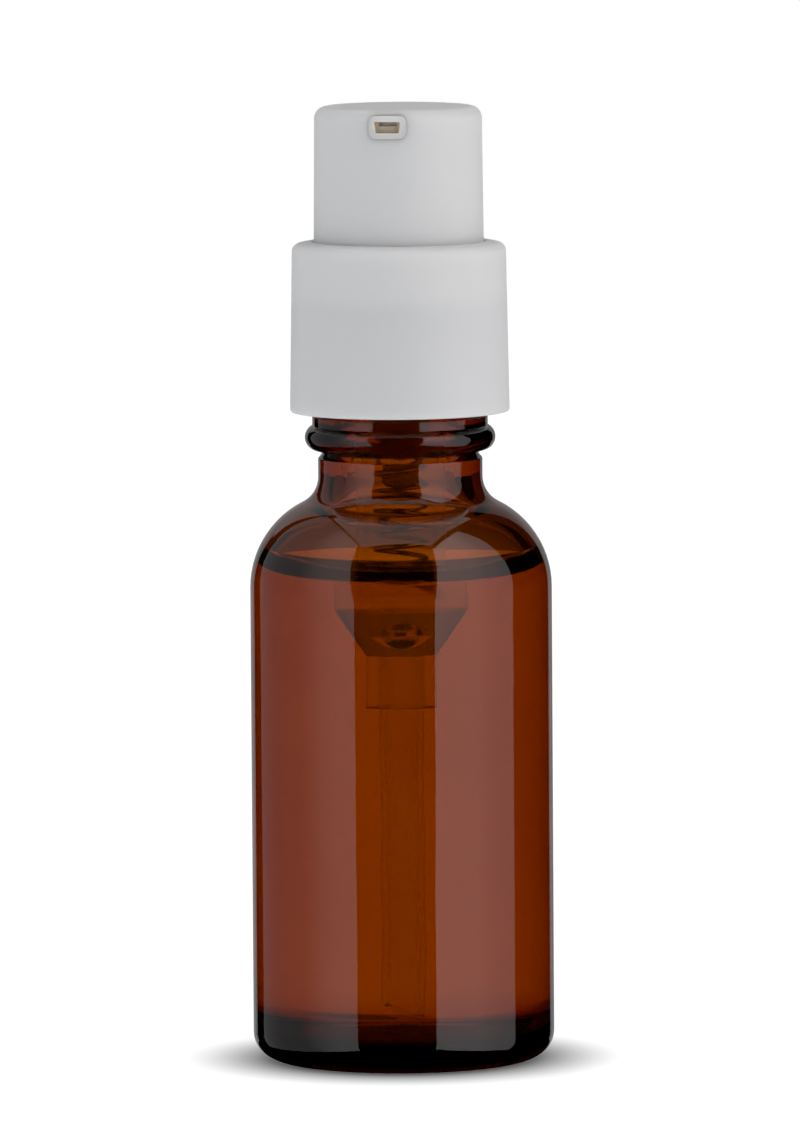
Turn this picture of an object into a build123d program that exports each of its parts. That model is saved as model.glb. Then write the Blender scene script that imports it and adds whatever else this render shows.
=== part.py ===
from build123d import *
import os
from math import pi, sqrt

# Pump oil bottle: a 30 ml Boston round glass bottle with a 20-400 neck finish, closed by a treatment pump.
# Millimetres. The origin is the middle of the base, +Z is up, and the nozzle points to -Y.

# ---------------------------------------------------------------- driving dimensions

# Glass bottle
BODY_RADIUS = 16.25
WALL = 2.0
BASE_THICKNESS = 3.0
BASE_CORNER = 3.0
REST_RING_INNER = 10.5
PUNT_HEIGHT = 1.3
FLOOR_CROWN = 0.8
FLOOR_CORNER = 3.5
SHOULDER_START = 51.1
SHOULDER_RADIUS = 10.2
NECK_RADIUS = 8.85
NECK_BLEND = 3.2
BORE_RADIUS = 6.4
BORE_BLEND = 5.4
NECK_TOP = 65.15
GROOVE_RADIUS = 8.35
GROOVE_HEIGHT = 65.58
BEAD_HEIGHT = 67.3
BEAD_SECTION = 1.41
BAND_RADIUS = 9.45
BAND_TOP = 69.7
FINISH_RADIUS = 9.05
LIP_HEIGHT = 78.5
LIP_CORNER = 0.8
LIP_INNER_CORNER = 0.5

# Screw thread, right-handed, 8 turns to the inch
PITCH = 3.175
THREAD_TURNS = 1.25
THREAD_START = 72.9
THREAD_DEPTH = 0.73
THREAD_ROOT_WIDTH = 1.7
THREAD_CREST_WIDTH = 0.7
THREAD_SINK = 0.15

# Oil
OIL_LEVEL = 51.65
OIL_GAP = 0.3
OIL_FILM = 0.05

# Pump engine
GASKET_THICKNESS = 1.0
GASKET_RADIUS = 9.0
FLANGE_RADIUS = 9.2
FLANGE_THICKNESS = 1.2
BOSS_RADIUS = 5.7
BOSS_HEIGHT = 1.6
HOUSING_RADIUS = 4.85
COUNTERBORE_RADIUS = 4.25
COUNTERBORE_BOTTOM = 73.0
CHAMBER_RADIUS = 3.75
CHAMBER_BOTTOM = 50.0
VENT_RADIUS = 0.4
VENT_HEIGHT = 70.0
BALL_RADIUS = 1.5
BALL_POCKET_RADIUS = 2.05
BALL_SEAT_RADIUS = 1.0
BALL_SEAT_HEIGHT = 45.25
BALL_GAP = 0.06
RIB_COUNT = 3
RIB_REACH = 1.2
RIB_WIDTH = 0.7
RIB_HEIGHT = 0.9
SOCKET_RADIUS = 2.6
SOCKET_BOTTOM = 38.5
SOCKET_TOP = 44.2
TUBE_RADIUS = 1.6
TUBE_BORE = 1.1
TUBE_END = 4.8
TUBE_SLANT = 30

# Stem retainer
RETAINER_RADIUS = 7.4
RETAINER_THICKNESS = 1.0
RETAINER_GUIDE = 1.8
RETAINER_RELIEF = 3.05
FIT = 0.05

# Plunger, piston and spring
STROKE = 4.5
STEM_RADIUS = 2.55
STEM_BORE = 1.3
STEM_TOP = 97.0
STEM_BOTTOM = 67.9
GUIDE_CLEARANCE = 0.10
PISTON_TOP = 72.7
PISTON_BOTTOM = 66.6
PISTON_BODY = 3.25
PISTON_LIP_HEIGHT = 0.9
PISTON_SHOULDER = 0.6
PISTON_PORT = 1.9
ROD_TOP = 75.0
ROD_HEAD_RADIUS = 2.9
ROD_HEAD_HEIGHT = 65.4
ROD_HEAD_EDGE = 0.8
ROD_PILOT_RADIUS = 1.9
ROD_PILOT_LENGTH = 2.6
ROD_FLUTES = 3
FLUTE_WIDTH = 0.7
FLUTE_DEPTH = 0.5
WIRE_RADIUS = 0.3
COIL_RADIUS = 2.75
COIL_TURNS = 7

# Threaded closure and its smooth outer shell
CLOSURE_BOTTOM = 70.4
CLOSURE_BORE = 9.98
CLOSURE_RADIUS = 10.73
CLOSURE_WEB = 1.2
CLOSURE_WEB_GAP = 0.2
CLOSURE_HOLE = 6.0
CLOSURE_THREAD_CREST = 9.3
CLOSURE_THREAD_ROOT_WIDTH = 1.1
CLOSURE_THREAD_CREST_WIDTH = 0.5
CLOSURE_THREAD_DROP = 1.1
SHELL_BOTTOM = 70.05
SHELL_TOP = 88.5
SHELL_RADIUS_BOTTOM = 11.825
SHELL_RADIUS_TOP = 11.5
SHELL_BORE = 10.78
SHELL_UPPER_BORE = 10.3
SHELL_LIP = 1.2
SHELL_HOLE = 9.35
SHELL_TOP_FALL = 0.4
SHELL_EDGE = 0.9
SHELL_HOLE_EDGE = 0.2
SHELL_FOOT_EDGE = 0.3

# Actuator
CAP_TOP = 102.9
CAP_BOTTOM = 87.0
CAP_RADIUS_TOP = 9.0
CAP_RADIUS_BOTTOM = 9.15
CAP_WALL = 1.2
CAP_ROOF = 1.1
CAP_EDGE = 1.3
CORE_RADIUS = 7.8
CORE_THICKNESS = 2.0
HUB_RADIUS = 4.0
HUB_BOTTOM = 88.3
HUB_RIBS = 6
HUB_RIB_WIDTH = 0.8
HUB_RIB_DEPTH = 4.5
ORIFICE_WIDTH = 2.8
ORIFICE_FOOT = 2.45
ORIFICE_HEIGHT = 1.2
ORIFICE_DROP = 1.8
ORIFICE_DEPTH = 0.8
ORIFICE_CORNER = 0.15
DUCT_WIDTH = 2.0
DUCT_HEIGHT = 0.5
RIM_WIDTH = 0.65
RIM_PROUD = 0.14
RIM_CORNER = 0.8
RIM_SOFTENING = 0.09
ORIFICE_SOFTENING = 0.05
WINDOW_GAP = 0.05

# ---------------------------------------------------------------- derived dimensions

HELIX_HEIGHT = THREAD_TURNS * PITCH
GASKET_TOP = LIP_HEIGHT + GASKET_THICKNESS
FLANGE_TOP = GASKET_TOP + FLANGE_THICKNESS
BOSS_TOP = FLANGE_TOP + BOSS_HEIGHT
WEB_BOTTOM = FLANGE_TOP + CLOSURE_WEB_GAP
WEB_TOP = WEB_BOTTOM + CLOSURE_WEB
GUIDE_RADIUS = STEM_RADIUS + GUIDE_CLEARANCE
CORE_TOP = CAP_TOP - CAP_ROOF - WINDOW_GAP
CORE_BOTTOM = CORE_TOP - CORE_THICKNESS
ORIFICE_CENTRE = CAP_TOP - ORIFICE_DROP
RIM_HEIGHT = ORIFICE_HEIGHT + 2 * RIM_WIDTH
RIM_SPAN = ORIFICE_WIDTH + 2 * RIM_WIDTH
DUCT_TOP = ORIFICE_CENTRE + ORIFICE_HEIGHT / 2
# A ball of BALL_RADIUS rests in a 45 degree seat, held off it by BALL_GAP.
BALL_HEIGHT = BALL_SEAT_HEIGHT - BALL_SEAT_RADIUS + sqrt(2) * (BALL_RADIUS + BALL_GAP)


def shoulder_tangency(arc_radius, neck_radius, blend_radius):
    """Where the convex shoulder meets the concave blend, and the height where the blend meets the neck."""
    centre = BODY_RADIUS - SHOULDER_RADIUS
    across = neck_radius + blend_radius - centre
    apart = arc_radius + blend_radius
    up = sqrt(apart**2 - across**2)
    share = arc_radius / apart
    return (centre + share * across, SHOULDER_START + share * up), SHOULDER_START + up


def cavity_floor():
    """The inner floor of the bottle, from the axis out to the wall, drawn in the open BuildLine."""
    inner = BODY_RADIUS - WALL
    crown = (0, BASE_THICKNESS + FLOOR_CROWN)
    heel = (inner - FLOOR_CORNER, BASE_THICKNESS)
    TangentArc(crown, heel, tangent=(1, 0))
    TangentArc(heel, (inner, BASE_THICKNESS + FLOOR_CORNER), tangent=(1, 0))


def thread_plane(radius, height):
    """The plane through the axis at the start of a helix, with its X outwards and its Y up."""
    return Plane(origin=(radius, 0, height), x_dir=(1, 0, 0), z_dir=(0, -1, 0))


os.makedirs("parts", exist_ok=True)

# ---------------------------------------------------------------- glass bottle

INNER_RADIUS = BODY_RADIUS - WALL
outer_meet, neck_start = shoulder_tangency(SHOULDER_RADIUS, NECK_RADIUS, NECK_BLEND)
inner_meet, bore_start = shoulder_tangency(SHOULDER_RADIUS - WALL, BORE_RADIUS, BORE_BLEND)
BAND_START = BEAD_HEIGHT + sqrt(BEAD_SECTION**2 - (BAND_RADIUS - NECK_RADIUS) ** 2)
NECK_CORNER = GROOVE_HEIGHT - NECK_TOP

with BuildPart() as glass_bottle:
    with BuildSketch(Plane.XZ) as section:
        with BuildLine():
            TangentArc((0, PUNT_HEIGHT), (REST_RING_INNER, 0), tangent=(1, 0))
            Line((REST_RING_INNER, 0), (BODY_RADIUS - BASE_CORNER, 0))
            TangentArc((BODY_RADIUS - BASE_CORNER, 0), (BODY_RADIUS, BASE_CORNER), tangent=(1, 0))
            Line((BODY_RADIUS, BASE_CORNER), (BODY_RADIUS, SHOULDER_START))
            shoulder = TangentArc((BODY_RADIUS, SHOULDER_START), outer_meet, tangent=(0, 1))
            TangentArc(outer_meet, (NECK_RADIUS, neck_start), tangent=shoulder % 1)
            Polyline(
                (NECK_RADIUS, neck_start),
                (NECK_RADIUS, NECK_TOP),
                (GROOVE_RADIUS, GROOVE_HEIGHT),
                (NECK_RADIUS, BEAD_HEIGHT - BEAD_SECTION),
            )
            ThreePointArc(
                (NECK_RADIUS, BEAD_HEIGHT - BEAD_SECTION),
                (NECK_RADIUS + BEAD_SECTION, BEAD_HEIGHT),
                (BAND_RADIUS, BAND_START),
            )
            Polyline(
                (BAND_RADIUS, BAND_START),
                (BAND_RADIUS, BAND_TOP),
                (FINISH_RADIUS, BAND_TOP + BAND_RADIUS - FINISH_RADIUS),
                (FINISH_RADIUS, LIP_HEIGHT - LIP_CORNER),
            )
            TangentArc(
                (FINISH_RADIUS, LIP_HEIGHT - LIP_CORNER),
                (FINISH_RADIUS - LIP_CORNER, LIP_HEIGHT),
                tangent=(0, 1),
            )
            Line((FINISH_RADIUS - LIP_CORNER, LIP_HEIGHT), (BORE_RADIUS + LIP_INNER_CORNER, LIP_HEIGHT))
            TangentArc(
                (BORE_RADIUS + LIP_INNER_CORNER, LIP_HEIGHT),
                (BORE_RADIUS, LIP_HEIGHT - LIP_INNER_CORNER),
                tangent=(-1, 0),
            )
            Line((BORE_RADIUS, LIP_HEIGHT - LIP_INNER_CORNER), (BORE_RADIUS, bore_start))
            hollow = TangentArc((INNER_RADIUS, SHOULDER_START), inner_meet, tangent=(0, 1))
            TangentArc(inner_meet, (BORE_RADIUS, bore_start), tangent=hollow % 1)
            Line((INNER_RADIUS, SHOULDER_START), (INNER_RADIUS, BASE_THICKNESS + FLOOR_CORNER))
            cavity_floor()
            Line((0, BASE_THICKNESS + FLOOR_CROWN), (0, PUNT_HEIGHT))
        make_face()
    revolve(axis=Axis.Z)
    with BuildLine() as thread_path:
        Helix(pitch=PITCH, height=HELIX_HEIGHT, radius=FINISH_RADIUS, center=(0, 0, THREAD_START))
    with BuildSketch(thread_plane(FINISH_RADIUS, THREAD_START)):
        with BuildLine():
            Polyline(
                (-THREAD_SINK, -THREAD_ROOT_WIDTH / 2),
                (0, -THREAD_ROOT_WIDTH / 2),
                (THREAD_DEPTH, -THREAD_CREST_WIDTH / 2),
                (THREAD_DEPTH, THREAD_CREST_WIDTH / 2),
                (0, THREAD_ROOT_WIDTH / 2),
                (-THREAD_SINK, THREAD_ROOT_WIDTH / 2),
                close=True,
            )
        make_face()
    sweep(path=thread_path.line, is_frenet=True)

glass_bottle.part.label = "glass_bottle"
export_step(glass_bottle.part, "parts/glass_bottle.step")

# ---------------------------------------------------------------- oil, clear of the pump that dips into it

with BuildPart() as oil_fill:
    with BuildSketch(Plane.XZ) as cavity:
        with BuildLine():
            cavity_floor()
            Line((INNER_RADIUS, BASE_THICKNESS + FLOOR_CORNER), (INNER_RADIUS, SHOULDER_START))
            Line((INNER_RADIUS, SHOULDER_START), (0, SHOULDER_START))
            Line((0, SHOULDER_START), (0, BASE_THICKNESS + FLOOR_CROWN))
        make_face()
        offset(amount=-OIL_FILM)
        with BuildLine():
            top_radius = sqrt((SHOULDER_RADIUS - WALL) ** 2 - (OIL_LEVEL - SHOULDER_START) ** 2)
            top_radius = top_radius + BODY_RADIUS - SHOULDER_RADIUS - 2 * OIL_FILM
            Polyline(
                (0, OIL_LEVEL),
                (top_radius, OIL_LEVEL),
                (INNER_RADIUS - OIL_FILM, SHOULDER_START - 2 * OIL_FILM),
                (0, SHOULDER_START - 2 * OIL_FILM),
                close=True,
            )
        make_face()
        with BuildLine():
            Polyline(
                (-1, OIL_LEVEL + 1),
                (HOUSING_RADIUS + OIL_GAP, OIL_LEVEL + 1),
                (HOUSING_RADIUS + OIL_GAP, CHAMBER_BOTTOM - 1.2),
                (SOCKET_RADIUS + OIL_GAP, SOCKET_TOP - OIL_GAP),
                (SOCKET_RADIUS + OIL_GAP, SOCKET_BOTTOM - OIL_GAP),
                (TUBE_RADIUS + OIL_GAP, SOCKET_BOTTOM - OIL_GAP),
                (TUBE_RADIUS + OIL_GAP, TUBE_END - OIL_GAP),
                (-1, TUBE_END - OIL_GAP),
                close=True,
            )
        make_face(mode=Mode.SUBTRACT)
        with Locations((-OIL_FILM, OIL_LEVEL / 2)):
            Rectangle(2 * OIL_FILM, OIL_LEVEL, mode=Mode.SUBTRACT)
    revolve(axis=Axis.Z)

oil_fill.part.label = "oil_fill"
export_step(oil_fill.part, "parts/oil_fill.step")

# ---------------------------------------------------------------- gasket between lip and pump flange

with BuildPart() as bottle_gasket:
    with BuildSketch(Plane.XY.offset(LIP_HEIGHT)):
        Circle(GASKET_RADIUS)
        Circle(BORE_RADIUS + LIP_INNER_CORNER, mode=Mode.SUBTRACT)
    extrude(amount=GASKET_THICKNESS)

bottle_gasket.part.label = "bottle_gasket"
export_step(bottle_gasket.part, "parts/bottle_gasket.step")

# ---------------------------------------------------------------- pump housing

SEAT_TOP = BALL_SEAT_HEIGHT + BALL_POCKET_RADIUS - BALL_SEAT_RADIUS

with BuildPart() as pump_housing:
    with BuildSketch(Plane.XZ):
        with BuildLine():
            Polyline(
                (HOUSING_RADIUS, GASKET_TOP),
                (FLANGE_RADIUS, GASKET_TOP),
                (FLANGE_RADIUS, FLANGE_TOP),
                (BOSS_RADIUS, FLANGE_TOP),
                (BOSS_RADIUS, BOSS_TOP),
                (COUNTERBORE_RADIUS, BOSS_TOP),
                (COUNTERBORE_RADIUS, COUNTERBORE_BOTTOM),
                (CHAMBER_RADIUS, COUNTERBORE_BOTTOM),
                (CHAMBER_RADIUS, CHAMBER_BOTTOM),
                (BALL_POCKET_RADIUS, CHAMBER_BOTTOM),
                (BALL_POCKET_RADIUS, SEAT_TOP),
                (BALL_SEAT_RADIUS, BALL_SEAT_HEIGHT),
                (BALL_SEAT_RADIUS, SOCKET_TOP),
                (TUBE_RADIUS + FIT / 2, SOCKET_TOP),
                (TUBE_RADIUS + FIT / 2, SOCKET_BOTTOM),
                (SOCKET_RADIUS, SOCKET_BOTTOM),
                (SOCKET_RADIUS, SOCKET_TOP),
                (HOUSING_RADIUS, CHAMBER_BOTTOM - 1),
                close=True,
            )
        make_face()
    revolve(axis=Axis.Z)
    # Ribs that the ball snaps past, and that keep it under the spring
    rib_reach = BALL_POCKET_RADIUS - RIB_REACH
    with BuildSketch(Plane.XY.offset(CHAMBER_BOTTOM)):
        with PolarLocations(RIB_REACH + rib_reach / 2 + THREAD_SINK, RIB_COUNT):
            Rectangle(rib_reach + 2 * THREAD_SINK, RIB_WIDTH)
    extrude(amount=-RIB_HEIGHT)
    with BuildSketch(Plane.XZ):
        with Locations((0, VENT_HEIGHT)):
            Circle(VENT_RADIUS)
    extrude(amount=HOUSING_RADIUS, mode=Mode.SUBTRACT)

pump_housing.part.label = "pump_housing"
export_step(pump_housing.part, "parts/pump_housing.step")

# ---------------------------------------------------------------- retainer that holds the plunger in the housing

with BuildPart() as stem_retainer:
    with BuildSketch(Plane.XZ):
        with BuildLine():
            Polyline(
                (GUIDE_RADIUS, BOSS_TOP + RETAINER_THICKNESS),
                (RETAINER_RADIUS, BOSS_TOP + RETAINER_THICKNESS),
                (RETAINER_RADIUS, BOSS_TOP),
                (COUNTERBORE_RADIUS - FIT, BOSS_TOP),
                (COUNTERBORE_RADIUS - FIT, COUNTERBORE_BOTTOM + FIT),
                (RETAINER_RELIEF, COUNTERBORE_BOTTOM + FIT),
                (RETAINER_RELIEF, BOSS_TOP - RETAINER_GUIDE),
                (GUIDE_RADIUS, BOSS_TOP - RETAINER_GUIDE),
                close=True,
            )
        make_face()
    revolve(axis=Axis.Z)

stem_retainer.part.label = "stem_retainer"
export_step(stem_retainer.part, "parts/stem_retainer.step")

# ---------------------------------------------------------------- dip tube, cut on a slant at its foot

with BuildPart() as dip_tube:
    with BuildSketch(Plane.XY.offset(TUBE_END)):
        Circle(TUBE_RADIUS)
        Circle(TUBE_BORE, mode=Mode.SUBTRACT)
    extrude(amount=SOCKET_TOP - TUBE_END)
    slant = Plane(origin=(TUBE_RADIUS, 0, TUBE_END), x_dir=(0, 1, 0), z_dir=(0, 0, 1)).rotated((0, TUBE_SLANT, 0))
    split(bisect_by=slant, keep=Keep.TOP)

dip_tube.part.label = "dip_tube"
export_step(dip_tube.part, "parts/dip_tube.step")

# ---------------------------------------------------------------- inlet ball

with BuildPart() as check_ball:
    with BuildSketch(Plane.XZ):
        with BuildLine():
            bottom = (0, BALL_HEIGHT - BALL_RADIUS)
            top = (0, BALL_HEIGHT + BALL_RADIUS)
            ThreePointArc(bottom, (BALL_RADIUS, BALL_HEIGHT), top)
            Line(top, bottom)
        make_face()
    revolve(axis=Axis.Z)

check_ball.part.label = "check_ball"
export_step(check_ball.part, "parts/check_ball.step")

# ---------------------------------------------------------------- return spring

SPRING_TOP = ROD_HEAD_HEIGHT - ROD_HEAD_EDGE
SPRING_RUN = SPRING_TOP - CHAMBER_BOTTOM - 2 * WIRE_RADIUS
WIRE_START = CHAMBER_BOTTOM + WIRE_RADIUS

with BuildPart() as return_spring:
    with BuildLine() as coil_path:
        Helix(pitch=SPRING_RUN / COIL_TURNS, height=SPRING_RUN, radius=COIL_RADIUS, center=(0, 0, WIRE_START))
    with BuildSketch(thread_plane(COIL_RADIUS, WIRE_START)):
        Circle(WIRE_RADIUS)
    sweep(path=coil_path.line, is_frenet=True)

return_spring.part.label = "return_spring"
export_step(return_spring.part, "parts/return_spring.step")

# ---------------------------------------------------------------- hollow stem

with BuildPart() as stem:
    with BuildSketch(Plane.XY.offset(STEM_BOTTOM)):
        Circle(STEM_RADIUS)
        Circle(STEM_BORE, mode=Mode.SUBTRACT)
    extrude(amount=STEM_TOP - STEM_BOTTOM)

stem.part.label = "stem"
export_step(stem.part, "parts/stem.step")

# ---------------------------------------------------------------- piston rod, pressed into the stem

ROD_RADIUS = STEM_BORE - FIT
ROD_CONE_TOP = ROD_HEAD_HEIGHT + ROD_HEAD_RADIUS - ROD_RADIUS
PILOT_TIP = 0.5

with BuildPart() as piston_rod:
    with BuildSketch(Plane.XZ):
        with BuildLine():
            Polyline(
                (0, ROD_TOP),
                (ROD_RADIUS, ROD_TOP),
                (ROD_RADIUS, ROD_CONE_TOP),
                (ROD_HEAD_RADIUS, ROD_HEAD_HEIGHT),
                (ROD_HEAD_RADIUS, SPRING_TOP),
                (ROD_PILOT_RADIUS, SPRING_TOP),
                (ROD_PILOT_RADIUS, SPRING_TOP - ROD_PILOT_LENGTH + PILOT_TIP),
                (ROD_PILOT_RADIUS - PILOT_TIP, SPRING_TOP - ROD_PILOT_LENGTH),
                (0, SPRING_TOP - ROD_PILOT_LENGTH),
                close=True,
            )
        make_face()
    revolve(axis=Axis.Z)
    # Flutes that carry the liquid past the rod and up the stem
    with BuildSketch(Plane.XY.offset(ROD_TOP)):
        with PolarLocations(ROD_RADIUS, ROD_FLUTES):
            Rectangle(2 * FLUTE_DEPTH, FLUTE_WIDTH)
    extrude(amount=ROD_CONE_TOP - ROD_TOP, mode=Mode.SUBTRACT)

piston_rod.part.label = "piston_rod"
export_step(piston_rod.part, "parts/piston_rod.step")

# ---------------------------------------------------------------- piston with an upper and a lower lip

LIP_RADIUS = CHAMBER_RADIUS - FIT

with BuildPart() as piston:
    with BuildSketch(Plane.XZ):
        with BuildLine():
            Polyline(
                (GUIDE_RADIUS, PISTON_BOTTOM + PISTON_SHOULDER),
                (GUIDE_RADIUS, PISTON_TOP),
                (PISTON_BODY, PISTON_TOP),
                (LIP_RADIUS, PISTON_TOP - PISTON_LIP_HEIGHT / 3),
                (LIP_RADIUS, PISTON_TOP - PISTON_LIP_HEIGHT),
                (PISTON_BODY, PISTON_TOP - PISTON_LIP_HEIGHT),
                (PISTON_BODY, PISTON_BOTTOM + PISTON_LIP_HEIGHT),
                (LIP_RADIUS, PISTON_BOTTOM + PISTON_LIP_HEIGHT),
                (LIP_RADIUS, PISTON_BOTTOM + PISTON_LIP_HEIGHT / 3),
                (PISTON_BODY, PISTON_BOTTOM),
                (PISTON_PORT, PISTON_BOTTOM),
                (PISTON_PORT, PISTON_BOTTOM + PISTON_SHOULDER),
                close=True,
            )
        make_face()
    revolve(axis=Axis.Z)

piston.part.label = "piston"
export_step(piston.part, "parts/piston.step")

# ---------------------------------------------------------------- threaded closure

CLOSURE_DEPTH = CLOSURE_BORE - CLOSURE_THREAD_CREST
CLOSURE_THREAD_START = THREAD_START - CLOSURE_THREAD_DROP

with BuildPart() as threaded_closure:
    with BuildSketch(Plane.XZ):
        with BuildLine():
            Polyline(
                (CLOSURE_BORE, CLOSURE_BOTTOM),
                (CLOSURE_RADIUS, CLOSURE_BOTTOM),
                (CLOSURE_RADIUS, WEB_TOP),
                (CLOSURE_HOLE, WEB_TOP),
                (CLOSURE_HOLE, WEB_BOTTOM),
                (CLOSURE_BORE, WEB_BOTTOM),
                close=True,
            )
        make_face()
    revolve(axis=Axis.Z)
    with BuildLine() as groove_path:
        Helix(pitch=PITCH, height=HELIX_HEIGHT, radius=CLOSURE_BORE, center=(0, 0, CLOSURE_THREAD_START))
    with BuildSketch(thread_plane(CLOSURE_BORE, CLOSURE_THREAD_START)):
        with BuildLine():
            Polyline(
                (THREAD_SINK, -CLOSURE_THREAD_ROOT_WIDTH / 2),
                (0, -CLOSURE_THREAD_ROOT_WIDTH / 2),
                (-CLOSURE_DEPTH, -CLOSURE_THREAD_CREST_WIDTH / 2),
                (-CLOSURE_DEPTH, CLOSURE_THREAD_CREST_WIDTH / 2),
                (0, CLOSURE_THREAD_ROOT_WIDTH / 2),
                (THREAD_SINK, CLOSURE_THREAD_ROOT_WIDTH / 2),
                close=True,
            )
        make_face()
    sweep(path=groove_path.line, is_frenet=True)

threaded_closure.part.label = "threaded_closure"
export_step(threaded_closure.part, "parts/threaded_closure.step")

# ---------------------------------------------------------------- smooth outer shell of the collar

with BuildPart() as collar_shell:
    with BuildSketch(Plane.XZ) as wall:
        with BuildLine():
            Polyline(
                (SHELL_BORE, SHELL_BOTTOM),
                (SHELL_RADIUS_BOTTOM, SHELL_BOTTOM),
                (SHELL_RADIUS_TOP, SHELL_TOP - SHELL_TOP_FALL),
                (SHELL_HOLE, SHELL_TOP),
                (SHELL_HOLE, SHELL_TOP - SHELL_LIP),
                (SHELL_UPPER_BORE, SHELL_TOP - SHELL_LIP),
                (SHELL_UPPER_BORE, WEB_TOP),
                (SHELL_BORE, WEB_TOP),
                close=True,
            )
        make_face()
        outer_corner = wall.vertices().filter_by(lambda v: v.X > SHELL_UPPER_BORE).sort_by(Axis.Y)[-1]
        fillet(outer_corner, radius=SHELL_EDGE)
        hole_corner = wall.vertices().sort_by(Axis.Y)[-1]
        fillet(hole_corner, radius=SHELL_HOLE_EDGE)
        foot_corner = wall.vertices().sort_by(Axis.X)[-1]
        fillet(foot_corner, radius=SHELL_FOOT_EDGE)
    revolve(axis=Axis.Z)

collar_shell.part.label = "collar_shell"
export_step(collar_shell.part, "parts/collar_shell.step")

# ---------------------------------------------------------------- actuator shell, with a window for the nozzle

with BuildPart() as actuator_shell:
    with BuildSketch(Plane.XZ) as cap:
        with BuildLine():
            Polyline(
                (0, CAP_TOP),
                (CAP_RADIUS_TOP, CAP_TOP),
                (CAP_RADIUS_BOTTOM, CAP_BOTTOM),
                (CAP_RADIUS_BOTTOM - CAP_WALL, CAP_BOTTOM),
                (CORE_RADIUS + FIT, CORE_BOTTOM),
                (CORE_RADIUS + FIT, CAP_TOP - CAP_ROOF),
                (0, CAP_TOP - CAP_ROOF),
                close=True,
            )
        make_face()
        rim_corner = cap.vertices().filter_by(lambda v: v.X > CORE_RADIUS + CAP_WALL / 2).sort_by(Axis.Y)[-1]
        fillet(rim_corner, radius=CAP_EDGE)
    revolve(axis=Axis.Z)
    with BuildSketch(Plane.XZ.offset(CORE_RADIUS / 2)):
        with Locations((0, ORIFICE_CENTRE)):
            RectangleRounded(RIM_SPAN + 2 * WINDOW_GAP, RIM_HEIGHT + 2 * WINDOW_GAP, RIM_CORNER)
    extrude(amount=CAP_RADIUS_BOTTOM, mode=Mode.SUBTRACT)

actuator_shell.part.label = "actuator_shell"
export_step(actuator_shell.part, "parts/actuator_shell.step")

# ---------------------------------------------------------------- nozzle core: hub, duct and nozzle mouth

MOUTH_RADIUS = CAP_RADIUS_TOP + RIM_PROUD

with BuildPart() as nozzle_core:
    with BuildSketch(Plane.XY.offset(CORE_BOTTOM)):
        Circle(CORE_RADIUS)
    extrude(amount=CORE_THICKNESS)
    with BuildSketch(Plane.XY.offset(HUB_BOTTOM)):
        Circle(HUB_RADIUS)
    extrude(amount=CORE_BOTTOM - HUB_BOTTOM)
    with BuildSketch(Plane.XY.offset(CORE_BOTTOM)):
        with PolarLocations(CORE_RADIUS / 2, HUB_RIBS):
            Rectangle(CORE_RADIUS, HUB_RIB_WIDTH)
    extrude(amount=-HUB_RIB_DEPTH)
    # The mouth reaches through the window, and its face follows the round side of the actuator.
    with BuildSketch(Plane.XZ.offset(CORE_RADIUS / 2)):
        with Locations((0, ORIFICE_CENTRE)):
            RectangleRounded(RIM_SPAN, RIM_HEIGHT, RIM_CORNER - WINDOW_GAP)
    extrude(amount=CAP_RADIUS_BOTTOM)
    with BuildSketch(Plane.XY.offset(HUB_BOTTOM)):
        Circle(MOUTH_RADIUS)
    extrude(amount=CAP_TOP - HUB_BOTTOM, mode=Mode.INTERSECT)
    mouth_face = nozzle_core.faces().sort_by(Axis.Y)[0]
    fillet(mouth_face.edges(), radius=RIM_SOFTENING)
    with BuildSketch(Plane.XY.offset(HUB_BOTTOM)):
        Circle(STEM_RADIUS + FIT)
    extrude(amount=STEM_TOP + FIT - HUB_BOTTOM, mode=Mode.SUBTRACT)
    with BuildSketch(Plane.XY.offset(STEM_TOP)):
        Circle(STEM_BORE)
    extrude(amount=DUCT_TOP - STEM_TOP, mode=Mode.SUBTRACT)
    # A low duct runs out to the top of the orifice, which narrows downwards.
    with BuildSketch(Plane.XZ):
        with Locations((0, DUCT_TOP - DUCT_HEIGHT / 2)):
            Rectangle(DUCT_WIDTH, DUCT_HEIGHT)
    extrude(amount=MOUTH_RADIUS - ORIFICE_DEPTH, mode=Mode.SUBTRACT)
    with BuildSketch(Plane.XZ.offset(MOUTH_RADIUS - ORIFICE_DEPTH)) as orifice:
        with BuildLine():
            Polyline(
                (-ORIFICE_WIDTH / 2, DUCT_TOP),
                (ORIFICE_WIDTH / 2, DUCT_TOP),
                (ORIFICE_FOOT / 2, DUCT_TOP - ORIFICE_HEIGHT),
                (-ORIFICE_FOOT / 2, DUCT_TOP - ORIFICE_HEIGHT),
                close=True,
            )
        make_face()
        fillet(orifice.vertices(), radius=ORIFICE_CORNER)
    extrude(amount=2 * ORIFICE_DEPTH, mode=Mode.SUBTRACT)
    orifice_edges = nozzle_core.faces().sort_by(Axis.Y)[0].inner_wires()[0].edges()
    fillet(orifice_edges, radius=ORIFICE_SOFTENING)

nozzle_core.part.label = "nozzle_core"
export_step(nozzle_core.part, "parts/nozzle_core.step")

print(f"oil {oil_fill.part.volume / 1000:.1f} ml, dose {pi * CHAMBER_RADIUS**2 * STROKE / 1000:.2f} ml")
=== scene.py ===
from math import acos, asin, atan2, ceil, cos, degrees, dist, exp, hypot, pi, radians, sin, sqrt, tan

import bmesh
import bpy
from mathutils import Matrix, Vector


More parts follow.
